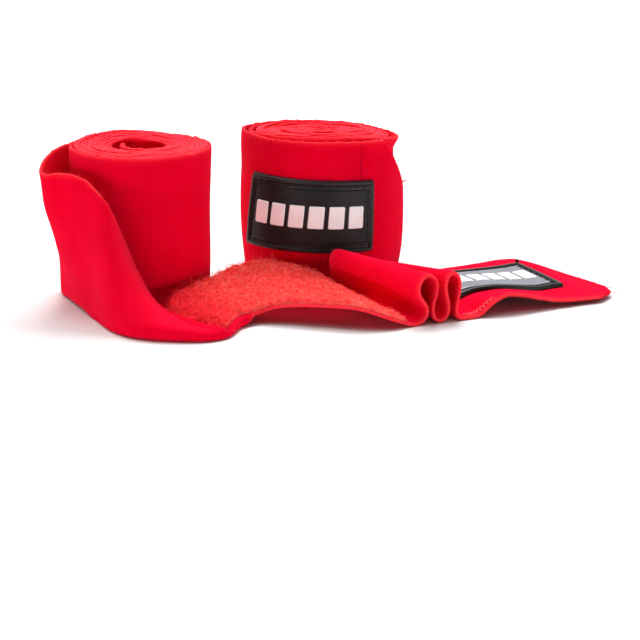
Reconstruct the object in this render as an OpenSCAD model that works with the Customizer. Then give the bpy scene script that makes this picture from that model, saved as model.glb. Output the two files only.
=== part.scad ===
// A pair of elastic hand wraps: one rolled shut, one with its end pulled out.
// Z is up, X runs along the pair and the origin is the middle of the base.

/* [Band] */
// Width of the woven band
band_w = 50; // [47:0.5:53]
// Thickness of the woven band
band_t = 1; // [0.8:0.05:1.1]
// Clear gap between two turns of a roll
turn_gap = 0.45; // [0.42:0.01:0.6]

/* [Open roll] */
// Radius at the inner end of the open roll
open_core_r = 8.4; // [7:0.1:10]
// Turns in the open roll
open_turns = 10; // [8:1:11]
// Direction in which the tail leaves the open roll
open_exit = 140; // [135:1:145]

/* [Closed roll] */
// Radius at the inner end of the closed roll
shut_core_r = 3.9; // [3.5:0.1:6]
// Turns in the closed roll under its closing turn
shut_turns = 14; // [11:1:15]
// How much narrower the stretched closing turn is
closing_drop = 0.5; // [0:0.1:3]
// Distance along X between the two rolls
roll_pitch_x = 59.5; // [58:0.5:64]
// Gap between the closed roll and the pulled-out band
roll_gap = 2.6; // [1:0.1:6]

/* [Pulled-out end] */
// Heading of the pleats and the end tab, from X towards Y
end_heading = 25; // [20:1:30]
// Length of the end tab to its tip
tab_l = 62.3; // [59:0.1:66]
// Rise of the end tab at its arch
tab_arch = 4.1; // [2:0.1:4.5]
// How far the pleats' ridges lean back at their far end
pleat_lean = 8; // [4:0.5:9]
// How much lower the first pleat's ridge is at its far end
pleat_sag = 1.4; // [0:0.1:3]
// Length of the closure tip that peels off the closed roll
tip_l = 22.5; // [18:0.5:24]

/* [Hook and loop] */
// Thickness of the hook patch
hook_t = 0.8; // [0.5:0.05:1]
// Length of the hook patch
hook_l = 38; // [30:1:42]
// Width of the hook patch
hook_w = 42; // [34:1:46]
// Thickness of the loop patch with its pile standing
pile_t = 1.6; // [0.8:0.1:2.5]
// Thickness of the loop patch with its pile pressed flat
pressed_t = 0.9; // [0.6:0.05:1.2]
// Length of the loop patch in the closed roll
loop_l = 58; // [50:1:64]
// Margin of plain band beside the loop patch
loop_margin = 1.5; // [1:0.1:4]

/* [Label] */
// Length of the moulded label
label_l = 46; // [42:0.5:48]
// Width of the moulded label
label_w = 26; // [22:0.5:30]
// How far the closed roll's label sits below the middle of the band
label_drop = 1; // [0:0.1:2]
// Thickness of the label's backing
label_t = 0.9; // [0.6:0.05:1.2]
// Height of the label's raised rim
rim_h = 0.6; // [0.3:0.05:0.7]
// Width of the label's raised rim
rim_w = 1.6; // [1:0.1:2.5]
// Width of the groove that holds the stitches
groove_w = 1.5; // [1.2:0.1:2]
// Height of the label's inner panel
panel_h = 0.4; // [0.2:0.05:0.6]
// Height of the raised blocks on the panel
block_h = 0.3; // [0.2:0.05:0.5]
// Length of one raised block
block_l = 4.6; // [3:0.1:5]
// Width of one raised block
block_w = 8; // [5:0.1:12]
// Distance from block to block
block_step = 6.4; // [5.5:0.1:7]
// Length of one stitch
stitch_l = 2.2; // [1.5:0.1:3]
// Distance from stitch to stitch
stitch_step = 3.4; // [3.2:0.1:4]
// Thickness of the sewing thread
thread_d = 0.4; // [0.3:0.05:0.5]

/* [Thumb loops] */
// Width of the thumb loop's tape
tape_w = 18; // [12:1:25]
// Thickness of the thumb loop's tape
tape_t = 0.8; // [0.5:0.05:1]

/* [Fits] */
// Clearance between pieces sewn on each other
sewn_gap = 0.06; // [0.05:0.01:0.1]
// Half of the gap left for a fabric hinge
hinge_gap = 0.4; // [0.35:0.05:0.5]
// Clearance between the lying band and the ground
floor_gap = 0.1; // [0.05:0.01:0.2]

/* [Hidden] */

red = [0.88, 0.02, 0.14];
bright_red = [0.98, 0.25, 0.22];
dark_red = [0.62, 0.02, 0.08];
black = [0.03, 0.03, 0.035];
charcoal = [0.16, 0.16, 0.18];
white = [0.93, 0.92, 0.92];

// Places of the two rolls
pitch = band_t + turn_gap;
open_c = [-62.9, -2.25];
open_end_r = open_core_r + pitch * open_turns;
coil_steps = 36;

// Small helpers
function unit(v) = v / max(norm(v), 1e-9);
function smooth(x) = let (t = min(1, max(0, x))) t * t * (3 - 2 * t);
function polar(a, r) = r * [cos(a), sin(a)];
function joined(a, b) = [for (p = a) p, for (i = [len(b) - 1 : -1 : 0]) b[i]];

// Point on a smooth curve through hand-placed rows, at a running place s
function along(rows, s) =
    let (n = len(rows) - 1, i = max(0, min(floor(s), n - 1)), t = s - i)
    let (a = rows[max(i - 1, 0)], b = rows[i], c = rows[i + 1], d = rows[min(i + 2, n)])
    0.5 * (2 * b + (c - a) * t + (2 * a - 5 * b + 4 * c - d) * t * t + (3 * b - a - 3 * c + d) * t * t * t);

// Wound rolls: rows of angle and middle radius
function winding(core, turns, a_end) =
    [for (i = [0 : coil_steps * turns])
        [a_end - 360 * turns + i * 360 / coil_steps, core + pitch * i / coil_steps]];
function ring_side(rows, o) = [for (p = rows) polar(p[0], p[1] + o)];
function least_gap(rows) =
    let (inner = ring_side(rows, -band_t / 2), outer = ring_side(rows, band_t / 2))
    min([for (i = [0 : len(rows) - coil_steps - 2], j = [coil_steps - 1 : coil_steps + 1])
        if (i + j < len(rows)) norm(inner[i + j] - outer[i])]);

module ring_strip(rows, o0, o1, z0, z1) {
    translate([0, 0, z0])
        linear_extrude(z1 - z0)
            polygon(joined(ring_side(rows, o1), ring_side(rows, o0)));
}

open_winding = winding(open_core_r, open_turns, open_exit);

// Route of the pulled-out band, measured from the open roll's centre.
// Row: near edge x y z, far edge x y z, radius of the turned-under fold, length turned under.
// The rows are set for a band of route_w on a roll of route_r.
route_w = 50;
route_r = 22.9;
lie = band_t / 2 + floor_gap;
tail_rows = [
    [-24.5, 10, 0.2, -23.5, 8, 49.8, 0, 0],
    [-28.5, 5, 0.2, -26.5, -1, 49.5, 0, 0],
    [-28, -2, 0.3, -29, -9, 48, 0, 0],
    [-23, -10, lie, -30, -16, 45, 0, 0],
    [-20, -16, lie, -28, -19.5, 44, 0, 0],
    [-16.5, -24, lie, -24.5, -20.5, 44.5, 0.4, 0],
    [-14, -29, lie, -19.5, -23, 44.5, 1, 2],
    [-10.5, -36, lie, -15, -25, 43.5, 2, 5],
    [-7.5, -43, lie, -11.5, -27.5, 41, 2, 7],
    [-4, -48.5, lie, -8, -30, 37.5, 2, 9],
    [0, -52.5, lie, -5.5, -29.5, 32, 2, 11],
    [4.5, -55, lie, -3, -27.5, 24.5, 2, 13],
    [9, -56.5, lie, 0, -27.5, 16.5, 2, 16],
    [14.5, -57.5, lie, 4, -28, 8, 2, 18],
    [20, -58, lie, 9, -29, 3.5, 2, 20],
    [25.5, -57.5, lie, 13.5, -27.5, 1.8, 2, 19],
    [29.5, -54.5, lie, 17, -22, 3, 2, 16],
    [31.5, -49.5, lie, 21.5, -12.5, 5, 2, 11],
    [33.5, -42.5, 0.9, 26, -2, 5.5, 1.6, 6],
    [38, -37, 3.5, 32, 8, 7, 0.6, 0],
    [44, -35, 7.2, 39, 14, 7.2, 0, 0],
    [52, -37, 8, 49, 9, 7, 0, 0],
    [62, -40.5, 8, 56, 6, 5.5, 0, 0],
    [71, -44, 6.5, 61, 4.5, 3.5, 0, 0],
    [80.5, -45, 3.5, 64.5, 3, 1.5, 0, 0]];
pleat_start = [87.5, -42];
nearest_row = 22;
across = [-sin(end_heading), cos(end_heading)];
forward = [cos(end_heading), sin(end_heading)];

// A row's edges follow the roll's radius and the band's width
function fitted(q) =
    let (out = unit([q[0], q[1]]) * (open_end_r - route_r), k = band_w / route_w)
    let (near = [open_c.x + q[0] + out.x, open_c.y + q[1] + out.y, q[2]])
    let (far = near + k * [q[3] - q[0], q[4] - q[1], q[5] - q[2]])
    [near.x, near.y, near.z, far.x, far.y, far.z, q[6], q[7]];
exit_p = open_c + polar(open_exit, open_end_r);
pleat_c = open_c + pleat_start + unit(pleat_start) * (open_end_r - route_r);
pleat_far = pleat_c + band_w * across;
route = [
    [exit_p.x, exit_p.y, 0.1, exit_p.x, exit_p.y, band_w - 0.1, 0, 0],
    each [for (q = tail_rows) fitted(q)],
    [pleat_c.x, pleat_c.y, lie, pleat_far.x, pleat_far.y, lie, 0, 0]];
route_end = len(route) - 1;

// Section of the band at a place on the route, flat face first, then the turned-under fold
function section(s) =
    let (q = along(route, s), near = [q[0], q[1], q[2]], far = [q[3], q[4], q[5]], r = max(0, q[6]))
    let (flat = [far.x - near.x, far.y - near.y], reach = norm(flat), inward = unit(flat))
    let (c = [-r, near.z + r], f = [-reach, far.z], d = norm(c - f))
    let (tilt = atan2(c.y - f.y, c.x - f.x) + asin(min(1, r / d)) + 90, t = c + polar(tilt, r))
    [near, inward, f, t, c, r, tilt, norm(t - f), max(0, q[7])];
function on_section(m, run) =
    let (past = run - m[7], arc = m[5] * (m[6] + 90) * PI / 180)
    let (p = past <= 0 ? m[2] + (m[3] - m[2]) * run / m[7]
        : past <= arc ? m[4] + polar(m[6] - past / max(m[5], 0.01) * 180 / PI, m[5])
        : [m[4].x - (past - arc), m[0].z])
    [m[0].x - m[1].x * p.x, m[0].y - m[1].y * p.x, p.y];

// Places across the band: over its face, round its fold and along the part turned under
face_n = 7;
fold_n = 4;
under_n = 3;
function places_across(m) =
    let (arc = m[5] * (m[6] + 90) * PI / 180, fold = max(1, arc), under = max(1, m[8] - arc))
    let (face = m[7] + m[8] - fold - under)
    [for (j = [0 : face_n]) face * j / face_n,
        for (j = [1 : fold_n]) face + fold * j / fold_n,
        for (j = [1 : under_n]) face + fold + under * j / under_n];
function band_p(s, run) = on_section(section(s), run);
function band_normal(s, run) =
    let (e = 0.02, s0 = max(0, s - e), s1 = min(route_end, s + e), m = section(s))
    let (r0 = max(0, run - 0.2), r1 = min(m[7] + m[8], run + 0.2))
    unit(cross(on_section(m, r1) - on_section(m, r0), band_p(s1, run) - band_p(s0, run)));

// Sheet over the route from s0 to s1, between two offsets from the band's middle
module sheet(s0, s1, ns, o0, o1, margin, on_face) {
    rows = [for (i = [0 : ns])
        let (s = s0 + (s1 - s0) * i / ns, m = section(s))
        on_face ? [for (j = [0 : face_n]) margin + (m[7] - 2 * margin) * j / face_n] : places_across(m)];
    nw = len(rows[0]) - 1;
    grid = [for (o = [o0, o1], i = [0 : ns], run = rows[i])
        let (s = s0 + (s1 - s0) * i / ns)
        band_p(s, run) + o * band_normal(s, run)];
    row = nw + 1;
    top = row * (ns + 1);
    function quad(a, b, c, d) = [[a, c, b], [a, d, c]];
    faces = [
        for (i = [0 : ns - 1], j = [0 : nw - 1])
            let (k = i * row + j)
            each concat(quad(k, k + row, k + row + 1, k + 1),
                quad(top + k, top + k + 1, top + k + row + 1, top + k + row)),
        for (i = [0 : ns - 1], k = [i * row, i * row + nw])
            each k == i * row ? quad(k, top + k, top + k + row, k + row)
                : quad(k, k + row, top + k + row, top + k),
        for (j = [0 : nw - 1], k = [j, ns * row + j])
            each k == j ? quad(k, k + 1, top + k + 1, top + k)
                : quad(k, top + k, top + k + 1, k + 1)];
    polyhedron(grid, faces);
}

// Pleats: the line of the near edge, forward and up, as a smooth curve through round numbers
pleat_line = [
    [0.2, 0], [2, 0], [3.8, 0.4], [5.2, 1.7], [5.8, 3.8], [5.2, 6], [3.6, 8], [2.5, 11], [3.5, 13.8],
    [6.1, 15.3], [8.4, 13.8], [9.1, 11.2], [8.4, 7.8], [7.6, 4.8], [8, 1.8], [9.2, 0.5], [10.6, 0.1], [12, 0.6],
    [13.2, 2.4], [13.2, 5.4], [12.3, 9.2], [12.2, 12.4], [13.4, 14.7], [15, 15.2], [16.5, 14],
    [17.2, 10.8], [16.6, 7], [16, 4.2], [16.1, 1.8], [16.8, 0.5], [17.5, 0.1], [18.2, 0]];
pleat_steps = 2;
pleat_rise = 15;
second_pleat = 11;
second_sag = 2;
pleat_count = (len(pleat_line) - 1) * pleat_steps;
function pleat_p(i) = along(pleat_line, i / pleat_steps) + [0, lie];
function pleat_n(i) =
    let (t = unit(pleat_p(min(i + 0.3, pleat_count)) - pleat_p(max(i - 0.3, 0))))
    [-t.y, t.x];
function pleat_side(o) = [for (i = [0 : pleat_count]) pleat_p(i) + o * pleat_n(i)];
function pleat_gap() =
    let (l = pleat_side(band_t / 2), r = pleat_side(-band_t / 2), skip = 4 * pleat_steps)
    min([for (i = [0 : pleat_count - skip], j = [i + skip : pleat_count])
        min(norm(l[i] - l[j]), norm(r[i] - r[j]))]);
pleat_end = 18.2;
// The same line at the far edge: both ridges lean back and sag, the second one more
function pleat_far_p(p) =
    let (k = max(0, p.y - lie) / pleat_rise, more = second_sag * smooth((p.x - second_pleat + 1) / 2))
    [p.x - pleat_lean * k, p.y - (pleat_sag + more) * k];

// Frame of the pulled-out end: forward, across, up
module at_end(f) {
    translate([pleat_c.x, pleat_c.y, 0])
        rotate(end_heading)
            translate([f, 0, 0])
                children();
}
module across_band(v0, v1) {
    translate([0, v1, 0])
        rotate([90, 0, 0])
            linear_extrude(v1 - v0)
                children();
}

// End tab: height of the band's middle along the tab, arched over the hook patch
hinge_f = pleat_end + hinge_gap + 0.1;
hook_start = 8;
arch_peak = 12;
arch_dip = 0.25;
arch_fall = 20;
function tab_z(u) =
    let (dip = arch_dip * smooth((u - 1.5 * arch_peak) / arch_fall))
    lie + tab_arch * smooth(u / arch_peak) * (1 - dip) * (1 - smooth((u - tab_l + arch_fall) / arch_fall));
function tab_p(u, o) =
    let (e = 0.2, slope = atan2(tab_z(u + e) - tab_z(u - e), 2 * e))
    [u - o * sin(slope), tab_z(u) + o * cos(slope)];

// Outline of a band's cut end: far side cut back, near corner rounded off
function cut_end(l, w) =
    let (k = w / route_w)
    [[l - 10, 0], [l - 3, 4.5 * k], [l, 12 * k], [l - 1.5, 22 * k], [l - 5, 31 * k], [l - 8.5, 38 * k],
        [l - 12.5, w]];

// Closing turn of the closed roll: it climbs over the two patches
shut_start = -20;
tip_hinge = 318;
label_dir = 259;
shut_end_r = shut_core_r + pitch * shut_turns;
patch_room = pressed_t + hook_t + 3 * sewn_gap;
climb = max(0, patch_room - turn_gap);
climb_turn = 200;
function under_r(a) = shut_end_r - pitch + pitch * (a - shut_start) / 360;
function closing_r(a) = under_r(a) + pitch + climb * smooth((a - shut_start) / climb_turn);
hinge_r = closing_r(tip_hinge);
shut_r = hinge_r + band_t / 2;
near_far = [route[nearest_row][3], route[nearest_row][4]];
shut_x = open_c.x + roll_pitch_x;
shut_c = [shut_x, near_far.y + roll_gap + sqrt(pow(shut_r, 2) - pow(near_far.x - shut_x, 2))];
shut_winding = winding(shut_core_r, shut_turns, shut_start);
arc_step = 5;
function arc_rows(a0, a1) =
    let (n = max(1, round((a1 - a0) / arc_step)))
    [for (i = [0 : n]) let (a = a0 + (a1 - a0) * i / n) [a, closing_r(a)]];
function turn_deg(l) = l / hinge_r * 180 / PI;

echo("least gap in the open roll", least_gap(open_winding));
echo("least gap in the closed roll", least_gap(shut_winding));
echo("least gap between pleats", pleat_gap());
echo("closed roll centre", shut_c, "radius", shut_r);
echo("end hinge", pleat_c + hinge_f * forward, pleat_c + hinge_f * forward + band_w * across);
echo("tip hinge", shut_c + polar(tip_hinge, hinge_r));

// Strips that follow a wrap's outer face: s along it, o off it, w across it
label_mid = 0.6 + label_l / 2;
strip_step = 2.5;
function strip_places(s0, s1) =
    [s0, for (k = [ceil(s0 / strip_step + 0.01) : floor(s1 / strip_step - 0.01)]) k * strip_step, s1];
module face_strip(open, s0, s1, o0, o1, w0, w1) {
    places = strip_places(s0, s1);
    if (open) {
        side = function(o) [for (s = places) tab_p(label_mid + s, band_t / 2 + o)];
        at_end(hinge_f)
            across_band(band_w / 2 + w0, band_w / 2 + w1)
                polygon(joined(side(o1), side(o0)));
    } else {
        rows = [for (s = places) let (a = label_dir + turn_deg(s)) [a, closing_r(a) + band_t / 2]];
        mid = band_w / 2 - label_drop;
        translate([shut_c.x, shut_c.y, 0])
            ring_strip(rows, o0, o1, mid + w0, mid + w1);
    }
}

// Parts of the moulded label
rim_in = rim_w + groove_w;
module label_base(open) {
    color(black)
        difference() {
            face_strip(open, -label_l / 2, label_l / 2, sewn_gap, label_t + rim_h, -label_w / 2, label_w / 2);
            face_strip(open, rim_w - label_l / 2, label_l / 2 - rim_w, label_t, label_t + rim_h + 1,
                rim_w - label_w / 2, label_w / 2 - rim_w);
        }
}
module label_panel(open) {
    color(charcoal)
        face_strip(open, rim_in - label_l / 2, label_l / 2 - rim_in, label_t + sewn_gap, label_t + panel_h,
            rim_in - label_w / 2, label_w / 2 - rim_in);
}
module label_blocks(open) {
    floor_o = label_t + panel_h;
    color(white)
        for (i = [-2.5 : 1 : 2.5])
            face_strip(open, i * block_step - block_l / 2, i * block_step + block_l / 2, floor_o + sewn_gap,
                floor_o + block_h, -block_w / 2, block_w / 2);
}
module label_stitching(open) {
    line = rim_w + groove_w / 2;
    long_n = floor((label_l / 2 - line - stitch_l) / stitch_step);
    short_n = floor((label_w / 2 - line - stitch_l) / stitch_step);
    o0 = label_t + sewn_gap;
    o1 = label_t + thread_d;
    color(charcoal) {
        for (i = [-long_n : long_n], w = [line - label_w / 2, label_w / 2 - line])
            face_strip(open, i * stitch_step - stitch_l / 2, i * stitch_step + stitch_l / 2, o0, o1,
                w - thread_d / 2, w + thread_d / 2);
        for (i = [-short_n : short_n], s = [line - label_l / 2, label_l / 2 - line])
            face_strip(open, s - thread_d / 2, s + thread_d / 2, o0, o1,
                i * stitch_step - stitch_l / 2, i * stitch_step + stitch_l / 2);
    }
}

// Thumb loop: a ring of tape lying in the roll's core
module tape_loop(l, w, z_top) {
    module oval(l, w) {
        square([l - w, w], center = true);
        for (x = [-1, 1])
            translate([x * (l - w) / 2, 0])
                circle(d = w, $fn = 48);
    }
    color(dark_red)
        translate([0, 0, z_top - tape_w])
            linear_extrude(tape_w)
                difference() {
                    oval(l, w);
                    oval(l - 2 * tape_t, w - 2 * tape_t);
                }
}

// Open wrap
tail_end = 17.6;
patch_start = 16.4;
module open_band_roll() {
    color(red)
        translate([open_c.x, open_c.y, 0])
            ring_strip(open_winding, -band_t / 2, band_t / 2, 0, band_w);
}
module open_band_tail() {
    color(red)
        sheet(0.02, tail_end, 52, -band_t / 2, band_t / 2, 0, false);
}
module open_band_run() {
    color(red)
        sheet(tail_end, route_end, 27, -band_t / 2, band_t / 2, 0, false);
}
module open_band_pleats() {
    sides = [pleat_side(-band_t / 2), pleat_side(band_t / 2)];
    points = [for (i = [0 : pleat_count], side = sides)
        let (p = side[i], q = pleat_far_p(p))
        each [[p.x, 0, p.y], [q.x, band_w, q.y]]];
    function quad(a, b, c, d) = [[a, c, b], [a, d, c]];
    last = 4 * pleat_count;
    color(red)
        at_end(0)
            polyhedron(points, [
                for (i = [0 : pleat_count - 1])
                    let (k = 4 * i)
                    each concat(quad(k, k + 1, k + 5, k + 4), quad(k + 2, k + 6, k + 7, k + 3),
                        quad(k, k + 4, k + 6, k + 2), quad(k + 1, k + 3, k + 7, k + 5)),
                each quad(0, 2, 3, 1),
                each quad(last, last + 1, last + 3, last + 2)]);
}
module open_end_tab() {
    places = [hinge_gap, each [for (u = [2 : 2 : tab_l]) u], tab_l];
    side = function(o) [for (u = places) tab_p(u, o)];
    color(red)
        at_end(hinge_f)
            intersection() {
                across_band(0, band_w)
                    polygon(joined(side(band_t / 2), side(-band_t / 2)));
                translate([0, 0, -1])
                    linear_extrude(tab_arch + hook_t + 10)
                        polygon([[0, 0], each cut_end(tab_l, band_w), [0, band_w]]);
            }
}
module open_loop_patch() {
    low = band_t / 2 + sewn_gap;
    color(bright_red)
        sheet(patch_start, route_end - 0.3, 30, low, low + pile_t, loop_margin, true);
}
module open_hook_patch() {
    u = strip_places(hook_start, hook_start + hook_l);
    side = function(o) [for (p = u) tab_p(p, o - band_t / 2 - sewn_gap)];
    color(dark_red)
        at_end(hinge_f)
            across_band((band_w - hook_w) / 2, (band_w + hook_w) / 2)
                polygon(joined(side(0), side(-hook_t)));
}
module open_label_base() { label_base(true); }
module open_label_panel() { label_panel(true); }
module open_label_blocks() { label_blocks(true); }
module open_label_stitching() { label_stitching(true); }
module open_thumb_loop() {
    loop_w = 4.4;
    loop_l = 2 * (open_core_r - band_t / 2) - 4;
    seat = open_core_r - band_t / 2 - loop_l / 2 - 0.3;
    at = open_c + polar(open_exit, seat);
    translate([at.x, at.y, 0])
        rotate(open_exit)
            tape_loop(loop_l, loop_w, band_w - 3);
}

// Closed wrap
module at_shut() {
    translate([shut_c.x, shut_c.y, 0])
        children();
}
module closed_band_roll() {
    color(red)
        at_shut()
            ring_strip(shut_winding, -band_t / 2, band_t / 2, 0, band_w);
}
module closed_closing_turn() {
    color(red)
        at_shut()
            ring_strip(arc_rows(shut_start + 0.2, tip_hinge - turn_deg(hinge_gap)), -band_t / 2, band_t / 2,
                0, band_w - closing_drop);
}
// Outline of the closure tip, along and up, for a tip of tip_rows_l on a band of route_w
tip_rows_l = 22.5;
tip_rows = [[14, 0], [19, 8], [22.5, 14], [22.5, 20], [19.8, 28], [11, 39], [5.3, 46], [1.3, 50]];
module closed_closure_tip() {
    half = turn_deg(tip_l) / 2;
    chord = function(u) hinge_r * sin(turn_deg(u) - half);
    w = band_w - closing_drop;
    outline = [[chord(0), 0],
        each [for (p = tip_rows) [chord(p.x * tip_l / tip_rows_l), p.y * w / route_w]], [chord(0), w]];
    color(red)
        at_shut()
            intersection() {
                ring_strip(arc_rows(tip_hinge + turn_deg(hinge_gap), tip_hinge + turn_deg(tip_l)),
                    -band_t / 2, band_t / 2, 0, w);
                rotate(tip_hinge + half)
                    rotate([90, 0, 90])
                        linear_extrude(shut_r + 5)
                            polygon(outline);
            }
}
module closed_loop_patch() {
    a0 = label_dir - turn_deg(loop_l) / 2;
    n = ceil(turn_deg(loop_l) / arc_step);
    rows = [for (i = [0 : n])
        let (a = a0 + i * turn_deg(loop_l) / n)
        [a, under_r(a) + band_t / 2 + sewn_gap]];
    color(bright_red)
        at_shut()
            ring_strip(rows, 0, pressed_t, loop_margin, band_w - closing_drop - loop_margin);
}
module closed_hook_patch() {
    half = turn_deg(hook_l) / 2;
    low = (band_w - closing_drop - hook_w) / 2;
    color(dark_red)
        at_shut()
            ring_strip(arc_rows(label_dir - half, label_dir + half), -band_t / 2 - sewn_gap - hook_t,
                -band_t / 2 - sewn_gap, low, low + hook_w);
}
module closed_label_base() { label_base(false); }
module closed_label_panel() { label_panel(false); }
module closed_label_blocks() { label_blocks(false); }
module closed_label_stitching() { label_stitching(false); }
module closed_thumb_loop() {
    loop_l = 2 * (shut_core_r - band_t / 2) - 0.8;
    at_shut()
        tape_loop(loop_l, loop_l / 2, band_w - 3);
}

open_band_roll();
open_band_tail();
open_band_run();
open_band_pleats();
open_end_tab();
open_loop_patch();
open_hook_patch();
open_label_base();
open_label_panel();
open_label_blocks();
open_label_stitching();
open_thumb_loop();
closed_band_roll();
closed_closing_turn();
closed_closure_tip();
closed_loop_patch();
closed_hook_patch();
closed_label_base();
closed_label_panel();
closed_label_blocks();
closed_label_stitching();
closed_thumb_loop();
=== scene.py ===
import math

import bpy
import numpy as np
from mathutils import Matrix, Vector


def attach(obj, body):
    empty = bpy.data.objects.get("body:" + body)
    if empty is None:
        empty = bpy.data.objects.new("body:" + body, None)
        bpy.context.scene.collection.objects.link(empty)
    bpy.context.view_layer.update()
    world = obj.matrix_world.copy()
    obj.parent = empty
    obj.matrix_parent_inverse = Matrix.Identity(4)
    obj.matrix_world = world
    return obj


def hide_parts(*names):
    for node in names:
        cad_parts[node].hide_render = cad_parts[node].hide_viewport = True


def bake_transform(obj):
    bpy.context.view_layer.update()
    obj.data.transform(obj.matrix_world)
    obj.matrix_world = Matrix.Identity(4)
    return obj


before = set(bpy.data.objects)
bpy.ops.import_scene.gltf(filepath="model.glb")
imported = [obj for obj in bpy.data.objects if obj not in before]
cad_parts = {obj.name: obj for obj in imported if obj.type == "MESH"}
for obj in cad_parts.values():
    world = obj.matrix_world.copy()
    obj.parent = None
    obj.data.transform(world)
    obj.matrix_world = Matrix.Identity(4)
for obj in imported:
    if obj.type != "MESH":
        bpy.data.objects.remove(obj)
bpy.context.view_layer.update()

# All shapes are worked out in millimetres and scaled once, when a mesh is made.
MM = 0.001
scene = bpy.context.scene
scene.view_settings.view_transform = "Standard"


def toward(degrees):
    """Level direction at an angle from +X."""
    a = math.radians(degrees)
    return np.array([math.cos(a), math.sin(a)])


# Sizes, places and bodies shared with the solids and the record
BAND_W, BAND_T, TURN_GAP = 50.0, 1.0, 0.45
TURN_PITCH = BAND_T + TURN_GAP
LIE = 0.6
OPEN_C = np.array([-62.9, -2.25])
OPEN_CORE, OPEN_TURNS, OPEN_EXIT = 8.4, 10, 140.0
SHUT_C = OPEN_C + np.array([59.5, 37.007])
SHUT_CORE, SHUT_TURNS, SHUT_START = 3.9, 14, -20.0
TIP_HINGE = 318.0
END_HEADING = 25.0
FWD, ACROSS = toward(END_HEADING), toward(END_HEADING + 90)
RUN_END = np.array([87.5, -42.0])
PLEAT_C = OPEN_C + RUN_END
HINGE_F = 18.7
LABEL_L, LABEL_W = 46.0, 26.0
PRESSED_PILE, HOOK_T, SEWN_GAP = 0.9, 0.8, 0.06
BODY, TAB_BODY, TIP_BODY = "wraps", "end_tab", "closure_tip"

# Camera at the photograph's viewpoint, measured from the open roll's middle
CAM_FROM_ROLL = np.array([59.0, -520.0, 134.0])
CAM_PITCH = 15.4
cam_data = bpy.data.cameras.new("camera")
cam_data.lens = 90.0
cam_data.sensor_width = 36.0
cam_data.clip_start = 0.01
cam_data.clip_end = 20.0
camera = bpy.data.objects.new("camera", cam_data)
camera.location = Vector(MM * (np.append(OPEN_C, 0.0) + CAM_FROM_ROLL))
camera.rotation_euler = (math.radians(90.0 - CAM_PITCH), 0.0, 0.0)
scene.collection.objects.link(camera)
scene.camera = camera


# Small helpers
def smooth(x):
    """Eased step from 0 to 1."""
    t = np.clip(x, 0.0, 1.0)
    return t * t * (3 - 2 * t)


def bump(x, centre, width):
    return np.exp(-((x - centre) / width) ** 2)


def crown(distance, radius):
    """Quarter-round rise from an edge: 0 at the edge, 1 from radius on."""
    return np.sqrt(np.clip(1 - (1 - np.clip(distance / radius, 0, 1)) ** 2, 0, 1))


def turned(degrees):
    """The same angle between -180 and 180 degrees."""
    return (degrees + 180) % 360 - 180


def curve(rows, s):
    """Points on a smooth curve through rows, at running places s."""
    rows = np.asarray(rows, float)
    n = len(rows) - 1
    s = np.asarray(s, float)
    i = np.clip(np.floor(s).astype(int), 0, n - 1)
    t = (s - i).reshape((-1,) + (1,) * (rows.ndim - 1))
    a, b = rows[np.maximum(i - 1, 0)], rows[i]
    c, d = rows[i + 1], rows[np.minimum(i + 2, n)]
    return 0.5 * (2 * b + (c - a) * t + (2 * a - 5 * b + 4 * c - d) * t**2 + (3 * b - a - 3 * c + d) * t**3)


def unit(v):
    return v / np.maximum(np.linalg.norm(v, axis=-1, keepdims=True), 1e-9)


def soften(grid, sigma):
    """Gaussian smoothing along the first axis, ends held."""
    k = int(3 * sigma + 1)
    w = np.exp(-0.5 * (np.arange(-k, k + 1) / sigma) ** 2)
    w /= w.sum()
    padded = np.concatenate([np.repeat(grid[:1], k, 0), grid, np.repeat(grid[-1:], k, 0)])
    out = np.zeros_like(grid)
    for j, f in enumerate(w):
        out += f * padded[j:j + len(grid)]
    out[0], out[-1] = grid[0], grid[-1]
    return out


def soft_noise(seed, shape, sigma):
    """Random heights smoothed along both axes."""
    rough = np.random.default_rng(seed).standard_normal(shape)
    return soften(soften(rough, sigma).T, sigma).T


def arc_length(line):
    return np.concatenate([[0.0], np.cumsum(np.linalg.norm(np.diff(line, axis=0), axis=1))])


def middle_run(grid):
    """Running length of a band's grid along its middle line."""
    return arc_length(grid[:, grid.shape[1] // 2])


def even(grid, step):
    """Rows of grid placed again at even distances along its middle line."""
    run = middle_run(grid)
    n = max(2, int(round(run[-1] / step)) + 1)
    at = np.linspace(0, run[-1], n)
    flat = grid.reshape(len(grid), -1)
    out = np.stack([np.interp(at, run, flat[:, c]) for c in range(flat.shape[1])], 1)
    return out.reshape((n,) + grid.shape[1:])


def normals(grid):
    return unit(np.cross(np.gradient(grid, axis=1), np.gradient(grid, axis=0)))


def at_angle(centre, r, a, z):
    """Points at radius r, angle a and height z round an upright axis."""
    return np.stack(np.broadcast_arrays(centre[0] + r * np.cos(a), centre[1] + r * np.sin(a), z), -1)


def add_mesh(name, verts, faces, mat, **attrs):
    me = bpy.data.meshes.new(name)
    me.vertices.add(len(verts))
    me.vertices.foreach_set("co", (np.asarray(verts, float) * MM).ravel())
    sizes = np.concatenate([np.full(len(f), f.shape[1]) for f in faces])
    loops = np.concatenate([f.ravel() for f in faces])
    me.loops.add(len(loops))
    me.loops.foreach_set("vertex_index", loops)
    me.polygons.add(len(sizes))
    me.polygons.foreach_set("loop_start", np.concatenate([[0], np.cumsum(sizes)[:-1]]))
    me.polygons.foreach_set("loop_total", sizes)
    me.polygons.foreach_set("use_smooth", np.ones(len(sizes), bool))
    me.update(calc_edges=True)
    me.validate()
    for key, values in attrs.items():
        me.attributes.new(key, "FLOAT", "POINT").data.foreach_set("value", np.asarray(values, np.float32))
    me.materials.append(mat)
    ob = bpy.data.objects.new(name, me)
    scene.collection.objects.link(ob)
    return ob


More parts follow.
